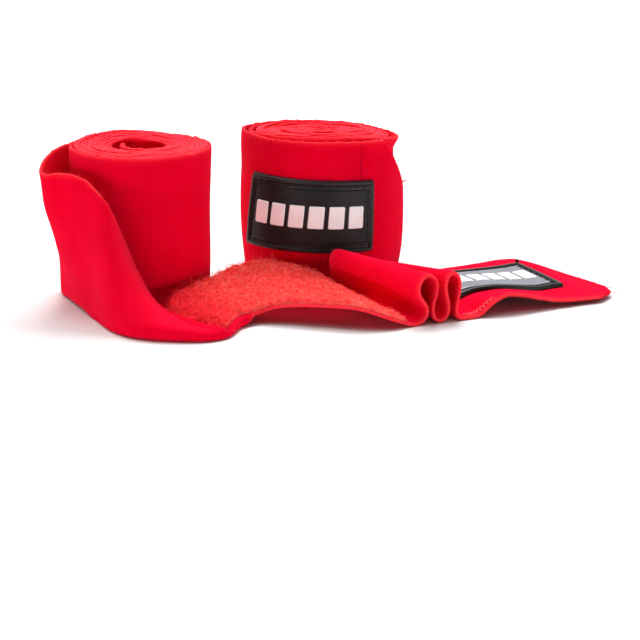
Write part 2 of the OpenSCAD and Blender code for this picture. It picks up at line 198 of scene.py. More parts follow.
def loft_faces(n, m, caps=True):
    """Quads over n closed loops of m points, with strips closing both ends."""
    i, j = np.meshgrid(np.arange(n - 1), np.arange(m), indexing="ij")
    k = (j + 1) % m
    quads = np.stack([i * m + j, i * m + k, (i + 1) * m + k, (i + 1) * m + j], -1).reshape(-1, 4)
    if not caps:
        return quads
    a = np.arange(m // 2 - 1)
    end = np.stack([a, a + 1, m - 2 - a, m - 1 - a], -1)
    return np.concatenate([quads, end[:, ::-1], (n - 1) * m + end])


def two_sided(up, down):
    """Points and faces of a closed plate between two facing grids."""
    loops = np.concatenate([up, down[:, ::-1]], 1)
    return loops.reshape(-1, 3), loft_faces(*loops.shape[:2])


def tube(path, radius, sides):
    """Points, faces and end caps of a thin tube."""
    path = np.asarray(path, float)
    n = len(path)
    t = unit(np.gradient(path, axis=0))
    ref = np.where(np.abs(t[:, 2:]) < 0.9, [[0, 0, 1.0]], [[1.0, 0, 0]])
    a = unit(np.cross(t, ref))
    b = np.cross(t, a)
    ang = (2 * np.pi * np.arange(sides) / sides)[None, :, None]
    ring = path[:, None] + radius * (np.cos(ang) * a[:, None] + np.sin(ang) * b[:, None])
    first = np.arange(sides)
    caps = [first, ((n - 1) * sides + first)[::-1]]
    return ring.reshape(-1, 3), loft_faces(n, sides, caps=False)[:, ::-1], np.array(caps)


def tubes(name, paths, radius, mat, sides):
    """Many thin tubes as one piece, with one radius for all or one each."""
    verts, quads, caps, strand = [], [], [], []
    at = 0
    for k, path in enumerate(paths):
        v, f, c = tube(path, radius[k] if np.ndim(radius) else radius, sides)
        verts.append(v)
        quads.append(f + at)
        caps.append(c + at)
        strand.append(np.full(len(v), (k * 0.618) % 1.0))
        at += len(v)
    faces = [np.concatenate(quads), np.concatenate(caps)]
    return add_mesh(name, np.concatenate(verts), faces, mat, strand=np.concatenate(strand))


def place(ob, body, slot, *nodes):
    """Say what a piece rides on and the nodes it stands for; a blended piece has no body. Its finish, slot,
    is not used.
    """
    if body is not None:
        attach(ob, body)
    if nodes:
        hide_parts(*nodes)
    return ob


# Materials
class Nodes:
    """Short forms for building a material's or a world's node tree."""

    def __init__(self, owner, shader):
        owner.use_nodes = True
        self.owner = owner
        self.tree = owner.node_tree
        self.shader = self.tree.nodes[shader]

    def new(self, kind, **props):
        node = self.tree.nodes.new(kind)
        for key, value in props.items():
            setattr(node, key, value)
        return node

    def put(self, socket, value):
        """Link a socket, or set its constant."""
        if hasattr(value, "is_linked"):
            self.tree.links.new(value, socket)
        else:
            socket.default_value = value

    def fill(self, node, **values):
        for key, value in values.items():
            self.put(node.inputs[key.replace("_", " ")], value)
        return node

    def math(self, op, *values):
        node = self.new("ShaderNodeMath", operation=op)
        for socket, value in zip(node.inputs, values):
            self.put(socket, value)
        return node.outputs[0]

    def times(self, a, b):
        return self.math("MULTIPLY", a, b)

    def times_add(self, a, b, c):
        return self.math("MULTIPLY_ADD", a, b, c)

    def attr(self, name):
        return self.new("ShaderNodeAttribute", attribute_name=name).outputs["Fac"]

    def place(self, kind="Object"):
        return self.new("ShaderNodeTexCoord").outputs[kind]

    def vector(self, x, y):
        return self.fill(self.new("ShaderNodeCombineXYZ"), X=x, Y=y).outputs[0]

    def split(self, vector):
        return self.fill(self.new("ShaderNodeSeparateXYZ"), Vector=vector).outputs

    def noise(self, vector, scale, detail):
        node = self.new("ShaderNodeTexNoise")
        return self.fill(node, Vector=vector, Scale=scale, Detail=detail, Roughness=0.55).outputs["Fac"]

    def map_range(self, value, low, high, to_low, to_high, ease="SMOOTHSTEP"):
        node = self.new("ShaderNodeMapRange", interpolation_type=ease)
        self.fill(node, Value=value, From_Min=low, From_Max=high, To_Min=to_low, To_Max=to_high)
        return node.outputs[0]

    def ramp(self, fac, *stops):
        node = self.fill(self.new("ShaderNodeValToRGB"), Fac=fac)
        elements = node.color_ramp.elements
        while len(elements) < len(stops):
            elements.new(0.5)
        for element, (position, colour) in zip(elements, stops):
            element.position = position
            element.color = (*colour, 1.0)
        return node.outputs["Color"]

    def mix(self, fac, a, b):
        """The colour a turned by fac into the constant colour b."""
        node = self.new("ShaderNodeMix", data_type="RGBA")
        sockets = {s.identifier: s for s in node.inputs}
        self.put(sockets["Factor_Float"], fac)
        self.put(sockets["A_Color"], a)
        self.put(sockets["B_Color"], (*b, 1.0))
        return next(s for s in node.outputs if s.identifier == "Result_Color")

    def bump(self, height, strength, distance):
        node = self.fill(self.new("ShaderNodeBump"), Height=height, Strength=strength, Distance=distance)
        self.fill(self.shader, Normal=node.outputs[0])

    def finish(self, **values):
        self.fill(self.shader, **values)
        return self.owner


def surface(name):
    return Nodes(bpy.data.materials.new(name), "Principled BSDF")


RED_LIT = (0.86, 0.0004, 0.027)
RED_DEEP = (0.72, 0.0002, 0.019)
# Painted shade for the rib grooves.
RED_GROOVE_SHADE = (0.58, 0.0003, 0.012)
# Painted highlight for the selvedges.
RED_RIM_HIGHLIGHT = (1.0, 0.052, 0.066)
# Painted shade for the loop patch near the crease.
RED_CREASE_SHADE = (0.95, 0.008, 0.032)
RIB, PICK = 1.2, 0.62


def elastic_material(name):
    """Woven elastic: ribs across the band with painted shade in their grooves, picks along them, a painted
    highlight along the selvedges, a duller inner face.
    """
    k = surface(name)
    run, wide = k.attr("run"), k.attr("wide")
    cloud = k.noise(k.vector(run, wide), 0.09, 4.0)
    yarn = k.noise(k.vector(k.times(run, 2.6), k.times(wide, 0.55)), 1.0, 2.0)
    colour = k.ramp(cloud, (0.3, RED_DEEP), (0.7, RED_LIT))
    colour = k.mix(k.times(yarn, 0.5), colour, RED_LIT)
    # Painted shade: the red darkens in the grooves between the ribs, fading in and out in patches.
    groove = k.math("SINE", k.times_add(run, 2 * math.pi / RIB, -math.pi / 2))
    patchy = k.noise(k.vector(k.times(run, 0.5), k.times(wide, 0.12)), 0.5, 2.0)
    groove = k.times(k.times_add(groove, 0.5, 0.5), k.times(patchy, 0.36))
    colour = k.mix(groove, colour, RED_GROOVE_SHADE)
    # Painted highlight: paler red along both selvedges, standing in for light and sheen on the rims.
    colour = k.mix(k.times(k.attr("rim"), 0.75), colour, RED_RIM_HIGHLIGHT)
    colour = k.mix(k.times(k.attr("inner"), 0.35), colour, RED_DEEP)
    pick = k.math("SINE", k.times(wide, 2 * math.pi / PICK))
    k.bump(k.times_add(pick, 0.35, yarn), 0.55, 0.00012)
    return k.finish(Base_Color=colour, Roughness=k.times_add(cloud, 0.12, 0.82), Specular_IOR_Level=0.01,
                    Sheen_Weight=0.10, Sheen_Roughness=0.4, Sheen_Tint=(1.0, 0.3, 0.38, 1.0),
                    Subsurface_Weight=0.6, Subsurface_Scale=0.0024, Subsurface_Radius=(1.0, 0.08, 0.12))


def crease_shade(k, colour):
    """Painted shade: deeper red towards the crease at the patch's left end, where shade falls in the valley
    under the roll.
    """
    axes = k.split(k.place())
    away = k.times_add(axes["X"], 0.85, k.times(axes["Y"], 0.5))
    return k.mix(k.map_range(away, -0.061, -0.038, 0.9, 0.0), colour, RED_CREASE_SHADE)


def pile_material(name):
    k = surface(name)
    tuft = k.noise(k.place(), 420.0, 3.0)
    stops = (0.25, (0.90, 0.012, 0.025)), (0.55, (1.0, 0.08, 0.068)), (0.8, (1.0, 0.16, 0.13))
    # Painted shade deepens the tufts' red towards the crease.
    colour = crease_shade(k, k.ramp(tuft, *stops))
    k.bump(k.noise(k.place(), 1500.0, 4.0), 0.6, 0.0005)
    return k.finish(Base_Color=colour, Roughness=0.95, Specular_IOR_Level=0.05,
                    Sheen_Weight=0.25, Sheen_Roughness=0.5, Sheen_Tint=(1.0, 0.35, 0.3, 1.0),
                    Subsurface_Weight=0.6, Subsurface_Scale=0.003, Subsurface_Radius=(1.0, 0.12, 0.12))


def fibre_material(name):
    k = surface(name)
    stops = (0.0, (0.95, 0.02, 0.03)), (0.5, (1.0, 0.09, 0.075)), (1.0, (1.0, 0.20, 0.17))
    # Painted shade deepens the fibres' red towards the crease.
    colour = crease_shade(k, k.ramp(k.attr("strand"), *stops))
    return k.finish(Base_Color=colour, Roughness=0.7, Specular_IOR_Level=0.1, Sheen_Weight=0.1)


def rubber_material(name, colour, grain, rough, spec=0.5, dark=0.72, rise=0.35, coat=0.0):
    """Moulded rubber or plastic, clouded between dark times its colour and as much lighter."""
    k = surface(name)
    tint = k.noise(k.place(), 260.0, 4.0)
    low = [c * dark for c in colour]
    high = [min(1.0, c * (2 - dark)) for c in colour]
    k.bump(k.noise(k.place(), grain, 3.0), rise, 0.00012)
    return k.finish(Base_Color=k.ramp(tint, (0.3, low), (0.7, high)),
                    Roughness=k.times_add(tint, 0.14, rough), Specular_IOR_Level=spec,
                    Coat_Weight=coat, Coat_Roughness=0.2)


def thread_material(name, colour):
    k = surface(name)
    ply = k.noise(k.place(), 2600.0, 2.0)
    k.bump(ply, 0.6, 0.0001)
    tone = k.ramp(ply, (0.3, [c * 0.7 for c in colour]), (0.7, colour))
    return k.finish(Base_Color=tone, Roughness=0.7, Specular_IOR_Level=0.2)


ELASTIC = elastic_material("red_elastic")
PILE = pile_material("loop_pile")
FIBRE = fibre_material("loop_fibres")
HOOK = rubber_material("hook_tape", (0.62, 0.010, 0.03), 900.0, 0.5)
RUBBER = rubber_material("label_rubber", (0.006, 0.0055, 0.006), 1400.0, 0.40, 0.35)
PANEL = rubber_material("label_panel", (0.0075, 0.0070, 0.0075), 2600.0, 0.42, 0.22)
# The tab's panel is the same near-black rubber as the closed label's, given a lighter bluish colour as a
# painted reflection of the backdrop, on top of its real gloss and coat.
PANEL_TAB_REFLECTION = rubber_material("label_panel_painted_reflection", (0.155, 0.153, 0.195), 2600.0, 0.26, 0.65, rise=0.12,
                            coat=0.45)
# The blocks' white has a painted cyan tint, countering the red light bounced onto them.
WHITE = rubber_material("label_white", (0.88, 0.95, 0.95), 1200.0, 0.5, 0.3, dark=0.95)
BLACK_THREAD = thread_material("black_thread", (0.02, 0.02, 0.021))
PINK_THREAD = thread_material("seam_thread", (0.95, 0.16, 0.17))
TAPE = elastic_material("thumb_tape")
RED_THREAD = thread_material("red_thread", (0.9, 0.012, 0.022))


# Woven band: a sheet with ribs across it, rounded selvedges and its own running measures
SELVEDGE = np.array([0, 0.12, 0.35, 0.7, 1.2, 2.0])
EDGE_FUZZ = 0.1


def places_across(n):
    """Shares of the width, closer together at both selvedges."""
    inner = np.linspace(3.2, BAND_W - 3.2, n)
    return np.concatenate([SELVEDGE, inner, BAND_W - SELVEDGE[::-1]]) / BAND_W


FINE, COARSE = places_across(52), places_across(8)


def band_mesh(name, grid, share, seed, start=0.0, run=None, thick=1.15, rib=0.05, round_over=0.8):
    """A closed ribbon round a grid of middle points: rows along the band, columns across it."""
    full = np.ones(grid.shape[:2])
    run = start + full * (middle_run(grid)[:, None] if run is None else run)
    w = share * BAND_W
    edge = np.minimum(w, BAND_W - w)
    half = thick / 2 * (0.35 + 0.65 * crown(edge, round_over)) + rib * np.cos(2 * np.pi * run / RIB)
    r = np.random.default_rng(seed)
    rag = 0.6 * r.standard_normal((len(grid), 1)) + 2.6 * soften(r.standard_normal((len(grid), 1)), 2.2)
    outward = unit(np.gradient(grid, axis=1)) * np.where(w < BAND_W / 2, -1.0, 1.0)[:, None]
    middle = grid + outward * (EDGE_FUZZ * rag * np.exp(-edge / 0.5))[..., None]
    side = normals(grid) * half[..., None]
    verts, faces = two_sided(middle + side, middle - side)
    both = lambda a: np.concatenate([a, a[:, ::-1]], 1).ravel()
    inner = np.concatenate([0 * full, full], 1).ravel()
    # The rim attribute marks both selvedges for the elastic's painted highlight.
    return add_mesh(name, verts, [faces], ELASTIC, run=both(run), wide=both(full * w),
                    rim=both(full * np.exp(-edge / 0.55)), inner=inner)


# Rolls: turns of a coil, given by angle, radius and top height
FOOT = 0.15


def roll_wobble(a, z):
    """Slow unevenness shared by the turns of a roll, so that they stay nested."""
    return (0.30 * np.sin(2 * a + 0.8) + 0.22 * np.sin(3 * a - 1.1 + z / 17)
            + 0.16 * np.sin(z / 6.5 + 2 * a) + 0.12 * np.sin(5 * a + z / 9))


def roll_turns(first, last, core, step):
    """Turn numbers between two turns of a coil, about a step apart along it."""
    mean = core + TURN_PITCH * (first + last) / 2
    return np.linspace(first, last, int((last - first) * 2 * np.pi * mean / step) + 2)


def slack_gaps(turn, angle, gaps, ease, settle):
    """Crescent gaps: how far the turns outside a slack one stand off, on one side of the roll."""
    off = 0
    for slack, where, wide, amount in gaps:
        grown = smooth((turn - slack) / ease) * (1 - settle * smooth((turn - slack) / 4))
        off = off + amount * grown * bump(np.radians(turned(angle - where)), 0, wide)
    return off


def turn_heights(turn, seed, spread):
    """Uneven top edges: each turn stands a little higher or lower, and drifts as it goes round."""
    knots = np.random.default_rng(seed).normal(0, spread, int(turn.max() * 5) + 8)
    return np.interp(turn * 5, np.arange(len(knots)), knots)


def roll_grid(centre, angle, radius, top, share, wobble, more):
    a = np.radians(angle)[:, None]
    z = top[:, None] + (FOOT - top)[:, None] * share
    r = radius[:, None] + wobble[:, None] * roll_wobble(a, z) + more(angle[:, None], z)
    return at_angle(centre, r, a, z)


# Open wrap: the roll, with gaps as (slack turn, angle, width in radians, amount)
OPEN_GAPS = ((1.3, 35, 0.55, 0.5), (1.6, 158, 0.5, 0.5), (4.5, 215, 0.5, 0.3), (7.6, 147, 0.22, 0.7),
             (8.0, 298, 0.55, 0.6), (8.7, 193, 0.2, 0.6))
OPEN_END_R = OPEN_CORE + TURN_PITCH * OPEN_TURNS


def open_taper(degrees, z):
    return -1.4 * (1 - z / BAND_W) * bump(turned(degrees), -5, 55)


def open_roll(first, last, share, step):
    turn = roll_turns(first, last, OPEN_CORE, step)
    angle = OPEN_EXIT + 360 * (turn - OPEN_TURNS)
    sine = np.sin(np.radians(angle))
    radius = OPEN_CORE + TURN_PITCH * turn + slack_gaps(turn, angle, OPEN_GAPS, 0.3, 0.9)
    # The inner end bends off into the core
    radius = radius - 3.0 * (1 - smooth((turn - 0.2) / 0.35))
    # The core is pressed flat from the back and a little from the front
    loose = np.clip(1 - turn / OPEN_TURNS, 0, 1)
    press = np.where(sine > 0, 2.6 * (1 - smooth((turn - 2.5) / 0.5)) + 4.4 * loose, 3.0 * loose)
    radius = radius - press * sine**2
    # The top edge is uneven, and level again where the tail leaves
    leaving = smooth((turn - 9.6) / 0.4)
    off = turned(angle)
    top = 50.6 + 0.8 * sine + 0.9 * bump(off, 118, 42) - 0.6 * bump(off, 10, 40)
    top = top + turn_heights(turn, 5, 0.25) * (1 - leaving)
    top = top + (49.8 - top) * leaving
    wobble = 0.25 + 0.75 * smooth(turn / 8) * (1 - leaving)
    return roll_grid(OPEN_C, angle, radius, top, share, wobble, open_taper)


# Open wrap: the pulled-out band, along rows given like those of the solids.
# Each row has the near edge, the far edge, the fold's radius and the width turned under.
TAIL_ROWS = [
    [-24.5, 10, 0.2, -23.5, 8, 49.8, 0, 0],
    [-27.6, 5, 0.2, -26.5, -1, 49.5, 0, 0],
    [-26.8, -2, 0.3, -29, -9, 48, 0, 0],
    [-23, -10, LIE, -30, -16, 45, 0, 0],
    [-20, -16, LIE, -28, -19.5, 44, 0, 0],
    [-16.5, -24, LIE, -24.5, -20.5, 44.5, 0.4, 0],
    [-14, -29, LIE, -19.5, -23, 44.5, 1, 2],
    [-10.5, -36, LIE, -15, -25, 43.5, 2, 5],
    [-7.5, -43, LIE, -11.5, -27.5, 41, 2, 7],
    [-4, -49, LIE, -8, -30, 37.5, 2, 9],
    [0, -53.4, LIE, -5.5, -29.5, 32, 2, 11],
    [4.5, -56.4, LIE, -3, -27.5, 24.5, 2, 13],
    [9, -58, LIE, 0, -27.5, 16.5, 2, 16],
    [14.5, -59, LIE, 4, -28, 8, 1.8, 17],
    [20, -59.3, LIE, 7.8, -34.2, 5.2, 1.4, 17],
    [25.8, -58.6, LIE, 11.8, -39.4, 3.3, 1, 15],
    [30.8, -55.2, LIE, 11.6, -38.2, 3.3, 0.7, 13],
    [32.8, -50.2, LIE, 12.4, -27, 5.8, 1, 10],
    [34.6, -43.8, LIE, 21.5, -12.5, 7.2, 1.2, 6],
    [39, -39.5, 2, 29.5, 4.5, 7.4, 0.6, 0],
    [44.6, -38.6, 5.2, 39, 14, 7.2, 0, 0],
    [52, -40.4, 6.4, 49, 9, 7, 0, 0],
    [62, -43.2, 6.9, 54.6, 6, 5.5, 0, 0],
    [71, -45.6, 6.7, 57.4, 4.2, 4.2, 0, 0],
    [80.5, -45.6, 3.7, 59.4, 2.2, 2.4, 0, 0]]
PLEAT_SKEW = 7.0


def route_rows():
    start = OPEN_END_R * toward(OPEN_EXIT)
    far = RUN_END + BAND_W * ACROSS - PLEAT_SKEW * FWD
    first = [*start, 0.1, *start, 49.9, 0, 0]
    last = [*RUN_END, LIE, *far, LIE, 0, 0]
    rows = np.array([first, *TAIL_ROWS, last])
    rows[:, [0, 1, 3, 4]] += np.tile(OPEN_C, 2)
    return rows


ROUTE = route_rows()


def crease_at(share):
    """Place on the route where the crease crosses the face, from its far edge to its near edge."""
    return np.interp(share, [0, 0.5, 1], [16.3, 16.75, 17.35])


def route_grid(s, share, face_only=None):
    """Points of the pulled-out band; face_only is a margin kept inside the flat face.

    A cross-section is a flat face from the far rim down to a fold that turns under at the near edge.
    It is drawn level and up, with the near edge at 0 and the rim on the negative side.
    """
    q = curve(ROUTE, s)
    near, far = q[:, 0:3], q[:, 3:6]
    r, under = np.maximum(q[:, 6], 0), np.maximum(q[:, 7], 0)
    level = far[:, :2] - near[:, :2]
    reach = np.linalg.norm(level, axis=1)
    inward = level / np.maximum(reach, 1e-6)[:, None]
    rim = np.stack([-reach, far[:, 2]], 1)
    hub = np.stack([-r, near[:, 2] + r], 1)
    slope = hub - rim
    tilt = np.arctan2(slope[:, 1], slope[:, 0]) + np.pi / 2
    tilt = tilt + np.arcsin(np.minimum(1, r / np.linalg.norm(slope, axis=1)))
    drop = hub + r[:, None] * np.stack([np.cos(tilt), np.sin(tilt)], 1) - rim
    face = np.linalg.norm(drop, axis=1)
    if face_only is None:
        run = share * (face + under)[:, None]
    else:
        run = face_only + share * (face - 2 * face_only)[:, None]
    down = run / face[:, None]
    past = run - face[:, None]
    # The leaning face bellies out between its rim and the fold, and is dented near the roll
    on_face = np.clip(down, 0, 1)
    belly = 0.8 * bump(s, 8.5, 2.5)[:, None] * np.sin(np.pi * on_face)
    dents = 1.7 * bump(on_face, 0.79, 0.15) - 1.9 * bump(on_face, 0.27, 0.17)
    belly = belly + dents * bump(s, 2.8, 1.6)[:, None]
    lean = unit(np.stack([-drop[:, 1], drop[:, 0]], 1))
    flat = rim[:, None] + drop[:, None] * down[..., None] + belly[..., None] * lean[:, None]
    arc = (r * (tilt + np.pi / 2))[:, None]
    ang = tilt[:, None] - past / np.maximum(r, 0.01)[:, None]
    fold = hub[:, None] + r[:, None, None] * np.stack([np.cos(ang), np.sin(ang)], -1)
    tuck = np.stack(np.broadcast_arrays(hub[:, :1] - (past - arc), near[:, 2:]), -1)
    p = np.where((past <= 0)[..., None], flat, np.where((past <= arc)[..., None], fold, tuck))
    # A slanting crease: the flat lip swells in front of it, and the patch rises behind it
    past_crease = s[:, None] - crease_at(down)
    swell = 1.2 * bump(past_crease, -0.5, 0.34) - 1.6 * bump(past_crease, 0.02, 0.2)
    up = p[..., 1]
    up = np.where(past <= 0, np.maximum(up + swell, np.minimum(up, 0.75)), up)
    xy = near[:, None, :2] - inward[:, None] * p[..., :1]
    return np.concatenate([xy, up[..., None]], -1)


# Pleats: the near edge's line, forward and up; towards the far edge the first foot and both ridges lie back
PLEAT_LINE = [
    [0.2, 0], [2, 0], [3.8, 0.4], [5.2, 1.7], [5.8, 3.8], [5.2, 6], [3.6, 8], [2.5, 11], [3.5, 13.8],
    [6.1, 15.3], [8.4, 13.8], [9.1, 11.2], [8.4, 7.8], [7.6, 4.8], [8, 1.8], [9.2, 0.5], [10.6, 0.1],
    [12, 0.6], [13.2, 2.4], [13.2, 5.4], [12.3, 9.2], [12.2, 12.4], [13.4, 14.7], [15, 15.2], [16.5, 14],
    [17.2, 10.8], [16.6, 7], [16, 4.2], [16.1, 1.8], [16.8, 0.5], [17.5, 0.1], [18.2, 0]]
PLEAT_H, PLEAT_LEAN = 15.0, 8.0


def end_point(f, v, z):
    """A point in the pulled-out end's own frame: forward, across, up."""
    f, v, z = (a[..., None] for a in np.broadcast_arrays(f, v, z))
    return np.concatenate([PLEAT_C + f * FWD + v * ACROSS, z], -1)


def pleat_grid(share):
    t = np.linspace(0, len(PLEAT_LINE) - 1, 600)
    f, z = curve(PLEAT_LINE, t).T[..., None]
    far = 1 - share
    lean = PLEAT_LEAN * z / PLEAT_H + PLEAT_SKEW * (1 - smooth((t - 4) / 4))[:, None]
    sag = (1.4 + 3.6 * smooth((f - 10) / 2)) * z / PLEAT_H
    return end_point(f - lean * far, BAND_W * far, LIE + z - sag * far)


# End tab: heights given over its length (rows) and width (columns, near to far)
TAB_U = np.array([0, 5.8, 10.8, 15.8, 20.8, 27.8, 34.8, 41.8, 48.8, 55.8, 62.8])
TAB_V = np.array([0, 12, 25, 38, 50.0])
TAB_Z = np.array([
    [0.6, 0.6, 0.6, 0.6, 0.6],
    [0.9, 3.2, 3.8, 3.4, 1.6],
    [4.4, 4.8, 5.0, 4.6, 2.6],
    [6.4, 5.2, 5.1, 4.8, 3.2],
    [5.9, 5.0, 5.0, 4.8, 3.5],
    [4.2, 4.0, 4.6, 4.8, 3.7],
    [2.5, 3.1, 4.4, 5.0, 4.0],
    [2.0, 3.4, 4.6, 5.4, 4.4],
    [1.8, 3.0, 4.0, 4.6, 4.0],
    [1.7, 2.0, 2.4, 2.7, 2.6],
    [1.4, 1.3, 1.2, 1.1, 1.0]])
TAB_L, CUT_FROM = 61.5, 16.0
CUT_V = np.array([0, 4.5, 12, 22, 31, 38, 50.0])
CUT_BACK = np.array([10, 3, 0, 1.5, 5, 8.5, 12.5])
# The sewn label sits in the cloth: middle, half size, depth and how soon it eases
SEAT_MID, SEAT_HALF, SEAT_DEPTH, SEAT_EASE = (23.1, 25.0), (23.8, 15.2), 0.7, 2.4
TABLE_U, TABLE_V = 200, 80
tab_columns = curve(TAB_Z.T, np.linspace(0, len(TAB_V) - 1, TABLE_V + 1)).T
tab_table = curve(tab_columns, np.linspace(0, len(TAB_U) - 1, TABLE_U + 1))


def tab_height(u, v):
    """Smooth height of the tab's middle surface at forward place u and across place v."""
    x = np.interp(u, TAB_U, np.linspace(0, TABLE_U, len(TAB_U)))
    y = np.interp(v, TAB_V, np.linspace(0, TABLE_V, len(TAB_V)))
    i = np.minimum(x.astype(int), TABLE_U - 1)
    j = np.minimum(y.astype(int), TABLE_V - 1)
    a, b = x - i, y - j
    z = ((1 - a) * (1 - b) * tab_table[i, j] + a * (1 - b) * tab_table[i + 1, j]
         + (1 - a) * b * tab_table[i, j + 1] + a * b * tab_table[i + 1, j + 1])
    seat_u = smooth((SEAT_HALF[0] - abs(u - SEAT_MID[0])) / SEAT_EASE)
    seat_v = smooth((SEAT_HALF[1] - abs(v - SEAT_MID[1])) / SEAT_EASE)
    return z - SEAT_DEPTH * seat_u * seat_v


def tab_point(u, v):
    return end_point(HINGE_F + u, v, tab_height(u, v))


def tab_grid(share):
    u, v = np.meshgrid(np.linspace(0, TAB_L, 240), BAND_W * (1 - share), indexing="ij")
    turn = TAB_L - CUT_FROM
    left = (CUT_FROM - np.interp(v, CUT_V, CUT_BACK)) / CUT_FROM
    return tab_point(np.where(u <= turn, u, turn + (u - turn) * left), v)


# Closed wrap: the closing turn climbs over the two patches
SHUT_END_R = SHUT_CORE + TURN_PITCH * SHUT_TURNS
CLIMB = PRESSED_PILE + HOOK_T + 3 * SEWN_GAP - TURN_GAP
SHUT_GAPS = ((1.2, 250, 0.6, 0.4), (4.7, 44, 0.3, 0.45), (6.3, 130, 0.35, 0.45), (7.2, 13, 0.3, 0.35),
             (9.9, 190, 0.25, 0.4))


def turn_at(angle):
    return SHUT_TURNS + (angle - SHUT_START) / 360


def closing_r(angle):
    return SHUT_END_R + TURN_PITCH * (angle - SHUT_START) / 360 + CLIMB * smooth((angle - SHUT_START) / 200)


def closing_top(angle):
    """Height of the closing turn's upper edge."""
    return np.interp(angle, [-20, 5, 40, 90, 165, 182, 200, 220, 260, 290, 318, 340],
                     [47.6, 47.4, 48.4, 49.3, 50.4, 50.8, 50.3, 49.8, 49.4, 49.2, 48.7, 48.4])


def shut_swell(angle, z):
    """What the closed roll's outer turns add to their radius: a barrel, flared rims, a crease."""
    turn = turn_at(angle)
    barrel = np.sin(np.pi * np.clip(z, 0, BAND_W) / BAND_W)
    swell = smooth((turn - 11.5) / 2) * (0.95 * barrel - 0.4)
    corner = 1.1 * smooth((z - 36) / 14) * bump(angle, 184, 16) + barrel * bump(angle, 184, 28)
    rim = 2.2 * smooth((z - 43) / 5) * bump(angle, 2, 22)
    under = CLIMB * smooth((z - 36) / 12) * smooth((turn - 11) / 2) * smooth((angle + 380) / 200)
    under = under * (1 - smooth((angle + 110) / 90))
    crease = 0.5 * bump(angle, 299, 1.1) * smooth((z - 36) / 1.5) * (1 - smooth((z - 37.5) / 3))
    return swell + corner + rim + under - crease


def shut_wobble(turn):
    return 0.2 + 0.5 * smooth(turn / 10)


def shut_face_r(angle, z):
    """Radius of the closing turn's middle surface."""
    wobble = shut_wobble(turn_at(angle)) * roll_wobble(np.radians(angle), z)
    return closing_r(angle) + wobble + shut_swell(angle, z)


def shut_roll(first, last, share, step):
    turn = roll_turns(first, last, SHUT_CORE, step)
    angle = SHUT_START + 360 * (turn - SHUT_TURNS)
    radius = np.where(turn <= SHUT_TURNS, SHUT_CORE + TURN_PITCH * turn, closing_r(angle))
    radius = radius + slack_gaps(turn, angle, SHUT_GAPS, 0.4, 1.0)
    dip = 2.2 * bump(turned(angle), 0, 45) * smooth((turn - 6) / 7)
    top = 50.1 - 0.5 * np.sin(np.radians(angle)) + turn_heights(turn, 8, 0.25) - dip
    closing = smooth((turn - SHUT_TURNS + 0.15) / 0.3)
    top = top + (closing_top(angle) - top) * closing
    return roll_grid(SHUT_C, angle, radius, top, share, shut_wobble(turn), shut_swell)


# Open wrap: bands
OUTER_TURN = 9.0
open_turns = open_roll(0.1, OUTER_TURN, COARSE, 0.75)
open_inner = band_mesh("open_inner_turns", open_turns, COARSE, 21, thick=1.75, rib=0.02, round_over=0.4)
place(open_inner, BODY, "red_elastic", "open_band_roll")
inner_len_open = middle_run(open_turns)[-1]

outer = open_roll(OUTER_TURN, OPEN_TURNS, FINE, 0.4)
route = route_grid(np.linspace(0, len(ROUTE) - 1, 900), FINE)
whole = np.concatenate([outer, route[1:], pleat_grid(FINE)[1:], tab_grid(FINE)[1:]])
whole = soften(even(whole, 0.3), 2.5)
open_band = band_mesh("open_outer_band", whole, FINE, 22, start=inner_len_open)
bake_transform(open_band)
place(open_band, None, "red_elastic", "open_band_tail", "open_band_run", "open_band_pleats", "open_end_tab")

# Closed wrap: bands
CLOSING_TURN, TIP_FROM = 13.0, 300.0
shut_turns = shut_roll(0.0, CLOSING_TURN, COARSE, 0.75)
shut_inner = band_mesh("closed_inner_turns", shut_turns, COARSE, 23, thick=1.55, rib=0.02, round_over=0.25)
place(shut_inner, BODY, "red_elastic", "closed_band_roll")
shut_inner_len = middle_run(shut_turns)[-1]
closing = soften(even(shut_roll(CLOSING_TURN, turn_at(TIP_FROM), FINE, 0.4), 0.3), 1.5)
shut_band = band_mesh("closed_outer_turn", closing, FINE, 24, start=shut_inner_len)
place(shut_band, BODY, "red_elastic", "closed_closing_turn")
closing_len = middle_run(closing)[-1]

# Closed wrap: the closure tip, cut on a slant, bends away at its hinge
TIP_Z = np.array([0, 4.5, 8, 14, 20, 28, 38, 45, 48.6])
TIP_U = np.array([12.5, 15.5, 17.8, 21.6, 22.6, 19.8, 11, 5.3, 1.6])
TIP_BEFORE, TIP_TOP = 5.0, 48.7
tip_r = float(closing_r(TIP_HINGE))


def tip_grid(share):
    """Points of the tip and how far each lies along it."""
    z = TIP_TOP + (FOOT - TIP_TOP) * share[None]
    from_u = math.radians(TIP_FROM - TIP_HINGE) * tip_r
    lead = -TIP_BEFORE - from_u
    length = TIP_BEFORE + TIP_U.max()
    d = np.linspace(0, lead + length, 150)[:, None]
    cut = (TIP_BEFORE + np.interp(z, TIP_Z, TIP_U)) / length
    run = np.where(d <= lead, d, lead + (d - lead) * cut)
    u = from_u + run
    angle = TIP_HINGE + np.degrees(u / tip_r)
    r = shut_face_r(angle, z) + 0.5 * smooth((u - 6) / 14)
    rise = (closing_top(np.minimum(angle, TIP_HINGE + 5)) - TIP_TOP) * smooth((z - 30) / 18) * (u < 3)
    return at_angle(SHUT_C, r, np.radians(angle), z + rise), run


tip_points, tip_run = tip_grid(FINE)
tip_start = shut_inner_len + closing_len
shut_tip = band_mesh("closed_closure_end", tip_points, FINE, 25, start=tip_start, run=tip_run)
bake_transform(shut_tip)
place(shut_tip, None, "red_elastic", "closed_closure_tip")

